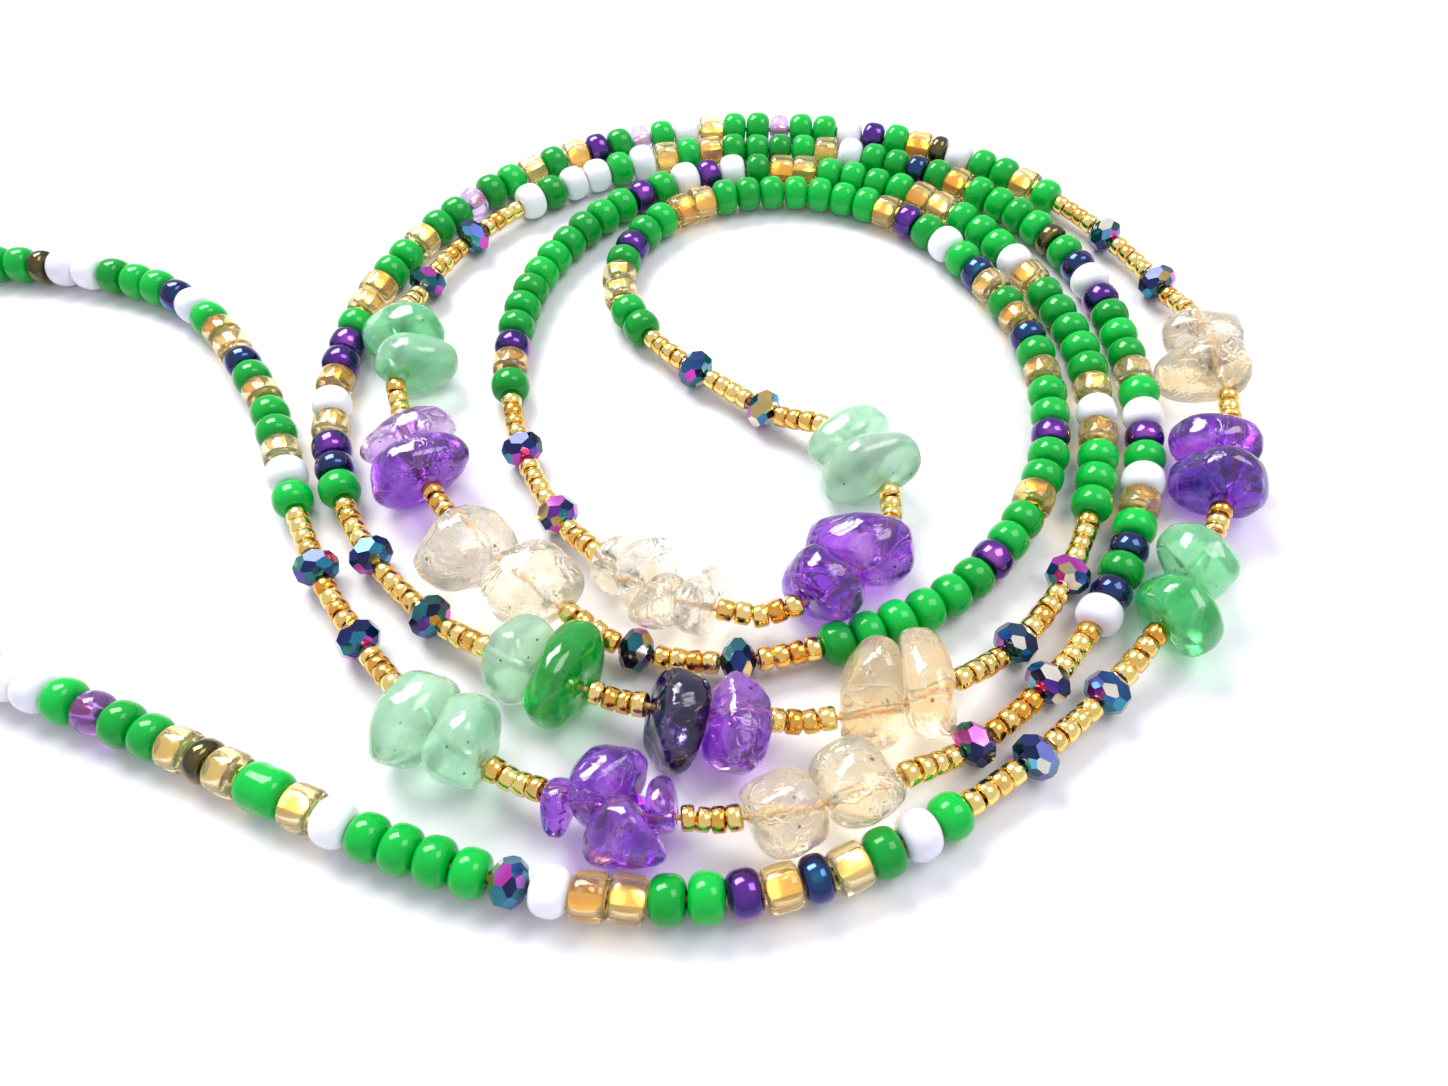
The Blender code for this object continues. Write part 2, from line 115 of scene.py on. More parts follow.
# Each group of stones: where its three clusters lie on the route, and the chips of each cluster in stringing order
CLUSTERS = [
    ("aventurine", (41.2, -7.4), [
        Chip(5.1, 8.3, 7.2, -0.5, -24, 14, 5),
        Chip(5.1, 8.2, 6.8, 0.4, -24, 14, 0),
    ]),
    ("amethyst", (48.7, 6.2), [
        Chip(4.7, 8.9, 7.6, 0.7, -1, 0, -1),
        Chip(4.5, 9.3, 6.2, 1.6, -1, 0, -7),
    ]),
    ("citrine", (51.2, 21.8), [
        Chip(4.9, 9.4, 7.4, 1.6, -6, 0, -10),
        Chip(4.9, 9.0, 6.1, 0.1, -6, 0, -1),
    ]),
    ("aventurine", (-15.8, -14.9), [
        Chip(4.3, 7.8, 7.0, 0.6, -3, 14, -6),
        Chip(4.2, 9.5, 7.5, 0.4, -3, 14, 22),
    ]),
    ("amethyst", (-1.5, -18.9), [
        Chip(4.4, 9.0, 6.8, -0.3, 5, -28, -2),
        Chip(4.7, 8.8, 7.5, -0.4, 5, -28, 9),
    ]),
    ("citrine", (14.4, -18.4), [
        Chip(5.3, 9.2, 7.3, 2.0, -18, 3, 17),
        Chip(4.5, 9.7, 7.3, 0.8, -18, 3, 9),
    ]),
    ("citrine", (-6.4, -6.8), [
        Chip(2.5, 6.0, 5.7, 0.8, -3, 29, 4),
        Chip(2.8, 7.5, 6.6, 1.5, -3, 26, -8),
        Chip(2.7, 5.7, 4.5, -0.6, -3, 26, -21, 2.0),
        Chip(2.7, 8.0, 5.8, 1.2, -3, 29, -20),
    ]),
    ("amethyst", (12.0, -5.2), [
        Chip(5.6, 8.1, 7.2, 0.8, 24, 5, -5),
        Chip(5.4, 10.6, 7.1, 1.0, 24, 5, -2),
    ]),
    ("aventurine", (13.9, 8.8), [
        Chip(4.4, 10.1, 7.4, 0.8, -13, 0, -12),
        Chip(4.3, 9.5, 6.2, -0.6, -13, 0, 1),
    ]),
    ("citrine", (-20.0, -3.8), [
        Chip(7.0, 9.4, 6.9, 0.0, -16, 6, 2),
        Chip(6.8, 9.6, 7.2, 1.3, -16, 6, 4),
    ]),
    ("amethyst", (-30.3, 9.8), [
        Chip(4.2, 9.9, 7.6, 0.4, 4, 2, -16),
        Chip(4.1, 9.6, 6.5, -0.2, 4, 2, 5),
    ]),
    ("aventurine", (-34.4, 24.6), [
        Chip(4.5, 8.2, 7.0, -2.1, -1, -2, -10),
        Chip(4.5, 8.8, 7.1, -0.6, -1, -2, 3),
    ]),
    ("citrine", (7.4, -26.9), [
        Chip(6.2, 6.9, 6.7, -0.8, 14, -1, 4),
        Chip(6.0, 7.6, 6.2, -0.1, 14, -1, 32),
    ]),
    ("amethyst", (-9.4, -27.1), [
        Chip(2.2, 5.1, 4.4, -0.8, 7, -10, 20),
        Chip(2.4, 6.3, 6.7, 1.2, 6, -17, 0, 4.2),
        Chip(2.6, 6.3, 7.2, -1.5, 6, -17, -6, 4.2),
        Chip(2.3, 4.8, 4.0, 0.8, 7, -10, 12),
    ]),
    ("aventurine", (-23.8, -20.3), [
        Chip(4.9, 8.2, 7.2, -0.4, 17, -1, 5),
        Chip(5.1, 9.2, 6.9, 0.7, 17, -1, -12),
    ]),
]
CLUSTERS_PER_GROUP = 3
CHIP_LOBES = (0.07, 0.05)
CHIP_TURN = 1.7
HANG_HEIGHT = 1.0

# The finer forms of the beads, which only the scene has. Gaps, radii and the small gold beads' belly are in
# millimetres, tilts in degrees, and shares are of a bead's half length or radius

BEAD_KINDS = "gwapPbolXs"
LINED_KINDS = "aPl"
BEAD_SIDES = 32
BEAD_STEPS = 14
BEAD_GAP = 0.06
BEAD_MOUTH = 0.93
BEAD_TILT = 5.0
SIZE_JITTER = 0.03
HOLE_RADIUS = 0.5
GOLD_GLASS_HOLE_RADIUS = 1.05
HOLE_LIP = 0.12
SQUARENESS = {"g": 2.5, "G": 3.2, "w": 2.4, "a": 3.6, "p": 2.7, "P": 2.3, "b": 2.7, "o": 2.7, "l": 2.4}
LONG_BEAD_PINCH = 0.05
LONG_BEAD_PINCH_WIDTH = 0.25
LINING_LENGTH = 0.9
LINING_FIT = 0.97
LINING_WALL = 0.8
LINING_SIDES = {"a": 4, "P": 12, "l": 12}

CRYSTAL_BLOCK = 4.0
CRYSTAL_FACETS = 7
CRYSTAL_TILT = 6.0
CRYSTAL_SEAT = 1.04
CRYSTAL_SIZE_SHARES = (0.98, 1.01)
# Each row of a crystal's facets: how far it tilts towards the end, how far its plane is from the middle, and its
# turn in steps
FACET_ROWS = [(0.0, 0.93, 0.0), (36.0, 0.95, 0.5), (60.0, 0.93, 0.0)]
# Places on the crystals' colour ramp: mostly its dark blue and green end, with some bright facets
FACET_MARKS = [0.0, 0.02, 0.06, 0.12, 0.18, 0.22, 0.28, 0.32, 0.36, 0.02, 0.46, 0.58, 0.60, 0.70, 0.82, 0.92]

# A small gold bead's belly, which is wider than the CAD's plain tube through such beads, and its section
SEED_BELLY = 2.12
SEED_PROFILE = [
    (-0.88, 0.60), (-1.0, 0.70), (-0.97, 0.84), (-0.72, 0.98), (0.0, 1.0), (0.72, 0.98), (0.97, 0.84), (1.0, 0.70),
    (0.88, 0.60), (0.75, 0.34), (-0.75, 0.34),
]
SEED_SIDES = 12
SEED_TILT = 7.0
SEED_LENGTH_SHARES = (0.90, 0.98)
SEED_SIZE_SHARES = (0.95, 1.04)

# The finer forms of the stone chips

CHIP_RING = 56
CHIP_ROWS = 26
CHIP_FLATNESS = 0.80
CHIP_FULLNESS = 0.50
CHIP_HOLE = 0.42
FLARE_SHARE = 0.7
CONTACT_GAP = 0.06
FLOOR_GAP = 0.02
# The soft flats of a chip: how many, how far along the thread they may face, where their planes lie between its
# middle and its skin, and how softly they cut
CHIP_CUTS = 3
CUT_LEAN = 0.9
CUT_DEPTHS = (0.84, 0.96)
CUT_SOFTNESS = 0.8
# The waviness of a chip: its size without waves, and for each wave how much, how fine, and its step from chip to chip
WAVE_BASE = 0.985
BROAD_WAVE = 0.05
BROAD_WAVE_SCALE = 0.45
BROAD_WAVE_STEP = 3.1
BROAD_WAVE_LIMIT = 0.2
FINE_WAVE = 0.012
FINE_WAVE_SCALE = 1.2
FINE_WAVE_STEP = 1.7
RANDOM_STEP = 5

# The thread, and the clasp's two caps. A cap's mouth is (distance from its end, radius), its shoulder is (distance
# from its end, share of the radius), and its band is (distance from the clasp's middle, share of the radius)

THREAD_SIDES = 8
THREAD_IN_CLASP = 1.7
CLASP_TURN_SIDES = 96
CLASP_MOUTH = [(1.8, 0.42), (0.05, 0.42), (0.0, 0.55), (0.0, 1.05), (0.15, 1.28), (0.5, 1.38), (0.8, 1.55)]
CLASP_SHOULDER = [(1.15, 0.97), (1.4, 1.0)]
CLASP_BAND = [(1.5, 1.0), (1.4, 0.95), (1.3, 1.0), (0.1, 1.0), (0.04, 0.94)]
MILLED_REACH = 1.35
MILLED_DEPTH = 0.965
MILLED_FULL = 0.99
CLASP_SHARP_ANGLE = 35.0

# The looks. Colours are linear, and ramps are (place, colour). A pattern's scale counts its repeats in a metre, and
# the height of a relief and how far light scatters are in metres

Relief = namedtuple("Relief", "scale detail distance strength")
OPAQUE_RELIEF = Relief(1400.0, 2.0, 0.00002, 0.5)
IRIS_RELIEF = Relief(1800.0, 2.0, 0.000015, 0.5)
CLEAR_RELIEF = Relief(1500.0, 2.0, 0.00002, 0.5)
CRYSTAL_RELIEF = Relief(900.0, 2.0, 0.00001, 0.5)
THREAD_RELIEF = Relief(3000.0, 3.0, 0.00004, 0.6)
GOLD_RELIEF = Relief(2200.0, 4.0, 0.00004, 0.6)
CLASP_RELIEF = Relief(900.0, 4.0, 0.00004, 0.6)

GREEN_GLASS = [(0.15, (0.0, 0.23, 0.020)), (1.0, (0.0, 0.43, 0.044))]
WHITE_GLASS = [(0.15, (0.74, 0.73, 0.84)), (1.0, (0.88, 0.88, 0.92))]
OPAQUE_DRIFT = 0.45
OPAQUE_DRIFT_SCALE = 900.0
OPAQUE_SPECULAR = 0.15
OPAQUE_SCATTER = (0.0008, 0.0008, 0.0008)
COAT_ROUGHNESS = 0.03

# The iris beads' colours: the dark middle stops are the coat's own colour, the bright first stop is a painted
# highlight for faces that look up, and the bright last stop is a painted sheen for rims and undersides
VIOLET_IRIS_AND_PAINTED_SHEEN = [
    (0.0, (0.50, 0.12, 0.62)), (0.22, (0.13, 0.02, 0.32)), (0.5, (0.03, 0.008, 0.14)), (0.75, (0.02, 0.014, 0.18)),
    (1.0, (0.40, 0.06, 0.40)),
]
BLUE_IRIS_AND_PAINTED_SHEEN = [
    (0.0, (0.05, 0.40, 0.55)), (0.18, (0.004, 0.05, 0.16)), (0.5, (0.004, 0.010, 0.075)), (0.75, (0.06, 0.010, 0.17)),
    (1.0, (0.02, 0.22, 0.40)),
]
OLIVE_IRIS_AND_PAINTED_SHEEN = [
    (0.0, (0.62, 0.46, 0.14)), (0.3, (0.11, 0.08, 0.012)), (0.6, (0.03, 0.035, 0.012)), (1.0, (0.24, 0.15, 0.03)),
]
# How far a face that looks up moves towards the painted highlight at the ramp's start
IRIS_PAINTED_HIGHLIGHT_UPWARD = -0.32
IRIS_DRIFT = 0.25
IRIS_START = 0.32
IRIS_BLEND = 0.35

LILAC_GLASS = [(0.0, (0.74, 0.52, 0.88)), (1.0, (0.84, 0.68, 0.95))]
PLUM_GLASS = [(0.0, (0.42, 0.16, 0.56)), (1.0, (0.55, 0.26, 0.68))]
GOLD_GLASS = [(0.0, (1.0, 0.72, 0.26)), (0.5, (1.0, 0.81, 0.42)), (1.0, (1.0, 0.89, 0.58))]
GLASS_IOR = 1.5
GLASS_LIGHT_SHARE = 0.55

LINING_GOLD = [(0.2, (1.0, 0.62, 0.14)), (1.0, (1.0, 0.90, 0.48))]
SEED_GOLD = [(0.2, (0.80, 0.34, 0.03)), (1.0, (1.0, 0.74, 0.24))]
CLASP_GOLD = [(0.2, (0.80, 0.56, 0.20)), (1.0, (0.95, 0.72, 0.34))]
GOLD_DRIFT = 0.6

CRYSTAL_COLOURS = [
    (0.04, (0.004, 0.006, 0.020)),
    (0.16, (0.010, 0.030, 0.20)),
    (0.28, (0.02, 0.24, 0.38)),
    (0.40, (0.01, 0.11, 0.10)),
    (0.52, (0.06, 0.02, 0.30)),
    (0.66, (0.55, 0.03, 0.42)),
    (0.78, (0.05, 0.42, 0.60)),
    (0.90, (0.62, 0.42, 0.10)),
    (1.00, (0.95, 0.92, 0.78)),
]
CRYSTAL_DRIFT = 0.14
CRYSTAL_DRIFT_SCALE = 450.0

THREAD_FIBRES = [(0.3, (0.60, 0.30, 0.07)), (0.7, (0.82, 0.50, 0.18))]
THREAD_FIBRE_SCALE = 2500.0

# What the three stones share. A mask is black where it hides and white where it shows
BLACK = (0.0, 0.0, 0.0)
WHITE = (1.0, 1.0, 1.0)
STONE_SCATTER = (0.0018, 0.0020, 0.0018)
WARP_SCALE = 420.0
WARP_AMOUNT = 0.004
CRACK_LINES = [(0.0, WHITE), (0.05, BLACK)]
CRACK_PATCH_SCALE = 240.0
CRACK_PATCHES = [(0.48, BLACK), (0.62, WHITE)]
VEIN_BANDS = [(0.46, BLACK), (0.495, WHITE), (0.505, WHITE), (0.54, BLACK)]
SPECK_HARDNESS = 0.6
SPECK_PATCH_SCALE = 600.0
SPECK_PATCHES = [(0.52, BLACK), (0.62, WHITE)]
VEIL_HEIGHT = 0.5
STONE_BUMP = 0.6

# The looks of the three stones. Body is the colour from deep to pale
STONES = {
    "amethyst": {
        "body": [
            (0.10, (0.010, 0.001, 0.085)), (0.40, (0.14, 0.008, 0.46)), (0.58, (0.38, 0.05, 0.80)),
            (0.74, (0.62, 0.24, 0.92)), (0.94, (0.86, 0.70, 0.94)),
        ],
        "cloud": 1.05, "cloud_scale": 200.0, "fractures": 210.0, "veins": 190.0,
        "veil": 0.30, "veil_colour": (0.62, 0.50, 0.80),
        "speck_scale": 700.0, "speck_size": 0.16, "speck_colour": (0.03, 0.01, 0.08),
        "transmission": 0.92, "roughness": 0.04, "ior": 1.50, "subsurface": 0.0,
        "waves": 0.00045, "wave_scale": 240.0,
        "tint": (0.86, 0.74, 0.97), "clear": 0.28,
    },
    "citrine": {
        "body": [
            (0.20, (1.0, 0.76, 0.44)), (0.45, (1.0, 0.90, 0.70)), (0.65, (1.0, 0.95, 0.84)),
            (1.0, (1.0, 1.0, 0.97)),
        ],
        "cloud": 0.70, "cloud_scale": 230.0, "fractures": 260.0, "veins": 260.0,
        "veil": 0.60, "veil_colour": WHITE,
        "speck_scale": 800.0, "speck_size": 0.20, "speck_colour": (0.12, 0.07, 0.03),
        "transmission": 0.86, "roughness": 0.03, "ior": 1.42, "subsurface": 0.6,
        "waves": 0.00040, "wave_scale": 520.0,
        "tint": (1.0, 0.95, 0.86), "clear": 0.60,
    },
    "aventurine": {
        "body": [
            (0.15, (0.0, 0.46, 0.03)), (0.38, (0.03, 0.64, 0.14)), (0.58, (0.28, 0.80, 0.42)),
            (0.78, (0.58, 0.90, 0.66)), (1.0, (0.80, 0.95, 0.82)),
        ],
        "cloud": 0.36, "cloud_scale": 260.0, "fractures": 160.0, "veins": 150.0,
        "veil": 0.16, "veil_colour": (0.80, 0.93, 0.85),
        "speck_scale": 950.0, "speck_size": 0.15, "speck_colour": (0.02, 0.13, 0.05),
        "transmission": 0.70, "roughness": 0.10, "ior": 1.44, "subsurface": 0.5,
        "waves": 0.00025, "wave_scale": 300.0,
        "tint": (0.80, 0.95, 0.86), "clear": 0.30,
    },
}

# How pale each chip is, in the order of its stone's chips on the string
TONES = {
    "aventurine": [0.24, 0.44, 0.66, -0.02, 0.68, 0.62, 0.52, 0.40, 0.62, 0.62],
    "amethyst": [-0.04, 0.06, -0.46, 0.14, 0.02, 0.10, 0.06, 0.40, 0.08, 0.12, 0.10, 0.14],
    "citrine": [0.06, 0.14, -0.06, 0.00, 0.18, 0.22, 0.16, 0.20, 0.18, 0.22, 0.08, 0.10],
}

HALVES = ("bead_string_outer", "bead_string_inner")
RANDOM_START = 11
PLAIN_PICK = 0.5

# The table, the light and the camera, in metres and degrees, with the sensor in millimetres

FLOOR_HALF = 1.5
FLOOR_COLOUR = (0.75, 0.75, 0.77)
SKY_COLOUR = (0.90, 0.90, 1.0)
SKY_STRENGTH = 0.82
# Each lamp: its name, place, size, power and colour
LAMPS = [
    ("window", (-0.25, 0.45, 0.55), (0.45, 0.30), 6.6, (1.0, 0.99, 0.97)),
    ("soft_box", (0.35, 0.10, 0.60), (0.35, 0.35), 2.0, (1.0, 0.98, 0.98)),
]
CAMERA_AT = Vector((0.0 - ORIGIN_AT[0], -60.0 - ORIGIN_AT[1], 84.5)) * MM
CAMERA_DOWN = 54.2
CAMERA_ROLL = -1.0
CAMERA_CLIP = 0.005
FOCAL_PIXELS = 1088.0
IMAGE_WIDTH = 1448.0
SENSOR_WIDTH = 36.0


class Route:
    """A smooth closed curve through the route's points, read by its length from the clasp."""

    def __init__(self, points):
        places = self.smooth(np.array(points, float) - np.array(ORIGIN_AT))
        runs = np.linalg.norm(np.diff(places, axis=0), axis=1)
        self.places = places
        self.along = np.concatenate([[0.0], np.cumsum(runs)])
        self.length = self.along[-1]
        self.raised = []

    @staticmethod
    def smooth(points):
        """The places along a centripetal curve through the points, closed."""
        count = len(points)
        places = []
        for i in range(count):
            before, start, end, after = (points[(i + k) % count] for k in (-1, 0, 1, 2))
            gaps = [math.sqrt(np.linalg.norm(b - a)) for a, b in ((before, start), (start, end), (end, after))]
            leave = (start - before) / gaps[0] - (end - before) / (gaps[0] + gaps[1]) + (end - start) / gaps[1]
            arrive = (end - start) / gaps[1] - (after - start) / (gaps[1] + gaps[2]) + (after - end) / gaps[2]
            steps = max(2, round(np.linalg.norm(end - start) / CURVE_STEP))
            for u in np.arange(steps) / steps:
                places.append(
                    (2 * u**3 - 3 * u**2 + 1) * start
                    + (u**3 - 2 * u**2 + u) * gaps[1] * leave
                    + (3 * u**2 - 2 * u**3) * end
                    + (u**3 - u**2) * gaps[1] * arrive
                )
        places.append(places[0])
        return np.array(places)

    def nearest(self, point):
        """How far along the route it comes nearest to a point."""
        offsets = self.places - (np.array(point) - np.array(ORIGIN_AT))
        return self.along[np.linalg.norm(offsets, axis=1).argmin()]

    def height(self, s):
        """The thread's height over the table, which rises where it runs through stones."""
        lift = 0.0
        for start, end in self.raised:
            away = max(start - s, s - end, 0.0) / CHIP_RISE_LENGTH
            if away < 1.0:
                lift = max(lift, 1.0 - away * away * (3.0 - 2.0 * away))
        low = BEAD_DIAMETER / 2 * BEAD_FORMS["w"][1] * math.cos(math.pi / STRING_SIDES)
        return low + (CHIP_THREAD_HEIGHT - low) * lift

    def at(self, s):
        x = np.interp(s, self.along, self.places[:, 0])
        y = np.interp(s, self.along, self.places[:, 1])
        return Vector((x, y, self.height(s)))

    def direction(self, s):
        return (self.at(s + CURVE_STEP) - self.at(s - CURVE_STEP)).normalized()


def length_of(kind):
    """The length on the thread of a bead, given by its letter."""
    if kind == "s":
        return SEED_LENGTH
    if kind == "X":
        return CRYSTAL_LENGTH
    return BEAD_LENGTH * BEAD_FORMS[kind][0]


def chain():
    """Everything on the thread in order: letters for beads, and numbers for the clusters of chips."""
    stem = "s" * SEEDS_PER_STEM
    order = list(RUNS[0])
    for group in range(len(CLUSTERS) // CLUSTERS_PER_GROUP):
        order += list(stem + "X" + stem + "X" + stem)
        for k in range(CLUSTERS_PER_GROUP):
            if k:
                order += list(stem)
            order.append(group * CLUSTERS_PER_GROUP + k)
        order += list(stem + "X" + stem + "X" + stem)
        order += list(RUNS[group + 1])
    return order


def lay_out(route):
    """Gives each thing on the thread its start and end."""
    spans = []
    waiting = []
    here = CLASP_LENGTH / 2 + END_GAP

    def place_waiting(end):
        nonlocal here
        share = (end - here) / sum(length_of(kind) for kind in waiting)
        for kind in waiting:
            reach = here + length_of(kind) * share
            spans.append((kind, here, reach))
            here = reach
        waiting.clear()

    for item in chain():
        if isinstance(item, str):
            waiting.append(item)
            continue
        chips = CLUSTERS[item][2]
        middle = route.nearest(CLUSTERS[item][1])
        half = (sum(chip.thickness for chip in chips) + END_GAP * (len(chips) + 1)) / 2
        place_waiting(middle - half)
        spans.append((item, middle - half, middle + half))
        route.raised.append((middle - half, middle + half))
        here = middle + half
    place_waiting(route.length - CLASP_LENGTH / 2 - END_GAP)
    return spans


def chip_bounds(index, start):
    """Each chip of a cluster, with its start and end along the route."""
    here = start + END_GAP
    bounds = []
    for chip in CLUSTERS[index][2]:
        bounds.append((chip, here, here + chip.thickness))
        here += chip.thickness + END_GAP
    return bounds


class Batch:
    """Many small closed meshes gathered into one object, with a random number for each of them."""

    def __init__(self):
        self.points = []
        self.faces = []
        self.picks = []
        self.marks = []

    def add(self, points, faces, pick, marks=None):
        base = len(self.points)
        self.points += [tuple(p) for p in points]
        self.faces += [tuple(base + i for i in face) for face in faces]
        self.picks += [pick] * len(points)
        self.marks += marks if marks is not None else [0.0] * len(faces)

    def make(self, name, material, smooth=True):
        data = bpy.data.meshes.new(name)
        data.from_pydata([(x * MM, y * MM, z * MM) for x, y, z in self.points], [], self.faces)
        pick = data.attributes.new("pick", "FLOAT", "POINT")
        pick.data.foreach_set("value", self.picks)
        mark = data.attributes.new("mark", "FLOAT", "FACE")
        mark.data.foreach_set("value", self.marks)
        data.polygons.foreach_set("use_smooth", [smooth] * len(data.polygons))
        data.materials.append(material)
        data.update()
        piece = bpy.data.objects.new(name, data)
        bpy.context.collection.objects.link(piece)
        return piece


def declare(piece, slot, *nodes):
    """Says what a piece rides on, which is the root body, and hides the CAD nodes that it replaces. The slot is not
    used.
    """
    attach(piece, "root")
    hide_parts(*nodes)


def frame_at(centre, direction):
    """A matrix that puts +X along the direction and +Z up."""
    side = Vector((0.0, 0.0, 1.0)).cross(direction).normalized()
    up = direction.cross(side)
    turn = Matrix((direction, side, up)).transposed().to_4x4()
    return Matrix.Translation(centre) @ turn


def lathe(profile, sides, closed=True):
    """Turns (along, radius) pairs about the X axis. A closed profile makes a ring with a hole."""
    points = []
    for along, radius in profile:
        for k in range(sides):
            angle = 2.0 * math.pi * k / sides
            points.append(Vector((along, math.cos(angle) * radius, math.sin(angle) * radius)))
    rows = len(profile)
    return points, quads(rows, sides, rows if closed else rows - 1)


def quads(rows, sides, bands):
    """The faces of some bands between rows of points that run round. A band past the last row closes on the first."""
    faces = []
    for i in range(bands):
        n = (i + 1) % rows
        for k in range(sides):
            j = (k + 1) % sides
            faces.append((i * sides + k, i * sides + j, n * sides + j, n * sides + k))
    return faces


def caps(rows, sides):
    """The two faces that close the ends of an open tube of rows of points."""
    return [tuple(reversed(range(sides))), tuple(range((rows - 1) * sides, rows * sides))]


def bead_profile(radius, half, hole, squareness):
    """A round bead's section: a full outer curve, softly flattened ends and a straight hole."""
    profile = []
    waist = hole + (radius - hole) * HOLE_LIP
    for i in range(BEAD_STEPS + 1):
        angle = math.pi * i / BEAD_STEPS
        c, s = math.cos(angle), math.sin(angle)
        along = -half * math.copysign(abs(c) ** (2.0 / squareness), c)
        out = waist + (radius - waist) * abs(s) ** (2.0 / squareness)
        profile.append((along, out))
    profile.append((half * BEAD_MOUTH, hole))
    profile.append((-half * BEAD_MOUTH, hole))
    return profile


def pinch(share):
    """The long green bead is a little thinner in its middle."""
    return 1.0 - LONG_BEAD_PINCH * math.exp(-((share / LONG_BEAD_PINCH_WIDTH) ** 2))


def crystal_form():
    """A fire-polished crystal of unit radius and half length, cut from a block by the planes of its facets."""
    mesh = bmesh.new()
    bmesh.ops.create_cube(mesh, size=CRYSTAL_BLOCK)
    for tilt, distance, step in FACET_ROWS:
        for k in range(CRYSTAL_FACETS):
            angle = 2.0 * math.pi * (k + step) / CRYSTAL_FACETS
            for end in (-1.0, 1.0):
                out = math.cos(math.radians(tilt))
                normal = Vector((end * math.sin(math.radians(tilt)), out * math.cos(angle), out * math.sin(angle)))
                cut_off(mesh, normal, distance)
    for end in (-1.0, 1.0):
        cut_off(mesh, Vector((end, 0.0, 0.0)), 1.0)
    bmesh.ops.recalc_face_normals(mesh, faces=mesh.faces)
    mesh.verts.index_update()
    points = [v.co.copy() for v in mesh.verts]
    faces = [tuple(v.index for v in face.verts) for face in mesh.faces]
    mesh.free()
    return points, faces


def cut_off(mesh, normal, distance):
    """Takes away all that lies beyond a plane, and closes the cut."""
    geometry = mesh.verts[:] + mesh.edges[:] + mesh.faces[:]
    found = bmesh.ops.bisect_plane(mesh, geom=geometry, plane_co=normal * distance, plane_no=normal, clear_outer=True)
    edges = [item for item in found["geom_cut"] if isinstance(item, bmesh.types.BMEdge)]
    edges = [edge for edge in edges if edge.is_boundary]
    if len(edges) > 2:
        bmesh.ops.contextual_create(mesh, geom=edges)


def chip_outline(chip, phase, sides):
    """The CAD chip's uneven oval round its hole with more corners, as (distance to the left, height)."""
    roll = math.radians(chip.roll)
    outline = []
    for k in range(sides):
        angle = ring_angle(k, sides)
        swell = 1.0 + CHIP_LOBES[0] * math.cos(2 * angle + phase) + CHIP_LOBES[1] * math.sin(3 * angle + 2 * phase)
        wide = math.cos(angle - roll) * chip.width / 2 * swell
        tall = math.sin(angle - roll) * chip.height / 2 * swell
        across = chip.offset + wide * math.cos(roll) - tall * math.sin(roll)
        outline.append((across, wide * math.sin(roll) + tall * math.cos(roll)))
    return outline


def ring_angle(k, sides):
    """The angle of a corner of a chip's outline, counted from below."""
    return 2.0 * math.pi * (k + 0.5) / sides - math.pi / 2


def chip_axes(chip, start, end):
    """A chip's middle on the thread, the thread's direction, and the chip's own forward, left and up."""
    axis = (end - start).normalized()
    up = Vector((0.0, 0.0, 1.0))
    level = Matrix.Rotation(math.radians(chip.lean), 3, "Z") @ Vector((axis.x, axis.y, 0.0)).normalized()
    tilt = math.radians(chip.tilt)
    face = level * math.cos(tilt) + up * math.sin(tilt)
    top = up * math.cos(tilt) - level * math.sin(tilt)
    return (start + end) / 2, axis, face, up.cross(level), top


def contact_planes(route, bounds, place):
    """The planes where a chip meets its neighbours in the cluster, as (point, direction out of the chip). A chip
    with a wide end reaches past its neighbour, so it has none."""
    planes = []
    chip, low, high = bounds[place]
    for step in (-1, 1):
        if not 0 <= place + step < len(bounds):
            continue
        other, other_low, other_high = bounds[place + step]
        if chip.flare or other.flare:
            continue
        edge = (high + other_low) / 2 if step > 0 else (low + other_high) / 2
        face = chip_axes(chip, route.at(low), route.at(high))[2]
        other_face = chip_axes(other, route.at(other_low), route.at(other_high))[2]
        planes.append((route.at(edge), (face + other_face).normalized() * step))
    return planes


def chip_mesh(route, bounds, place, phase, seed):
    """A tumbled chip: the CAD chip's place and size, with a rounded rim, soft flats and a drilled hole."""
    chip, low, high = bounds[place]
    planes = contact_planes(route, bounds, place)
    middle, axis, face, left, top = chip_axes(chip, route.at(low), route.at(high))
    outline = chip_outline(chip, phase, CHIP_RING)
    widest = math.copysign(chip.width / 2 + abs(chip.offset), chip.offset)
    lowest = min((middle + left * across + top * height).z for across, height in outline)
    drop = lowest if lowest < HANG_HEIGHT else 0.0
    side = Vector((0.0, 0.0, 1.0)).cross(axis).normalized()
    above = axis.cross(side)
    cuts = chip_cuts(random.Random(seed), chip)
    points = []
    for i in range(CHIP_ROWS):
        angle = math.pi * i / (CHIP_ROWS - 1) - math.pi / 2
        reach = chip.thickness / 2 * math.copysign(abs(math.sin(angle)) ** CHIP_FLATNESS, math.sin(angle))
        share = abs(math.cos(angle)) ** CHIP_FULLNESS
        for k, (across, height) in enumerate(outline):
            turn = ring_angle(k, CHIP_RING)
            mouth = middle + axis * reach + (side * math.cos(turn) + above * math.sin(turn)) * CHIP_HOLE
            flare = 1.0 + chip.flare * FLARE_SHARE * max(0.0, across / widest)
            rim = Vector((reach * flare, across, height))
            if 0 < i < CHIP_ROWS - 1:
                rim = shaped(rim, chip, cuts, seed)
            p = middle + face * rim.x + left * rim.y + top * rim.z
            p.z -= drop
            for point, out in planes:
                p -= out * max(0.0, (p - point).dot(out) + CONTACT_GAP)
            p.z = max(p.z, FLOOR_GAP)
            points.append(mouth.lerp(p, share))
    return points, quads(CHIP_ROWS, CHIP_RING, CHIP_ROWS)


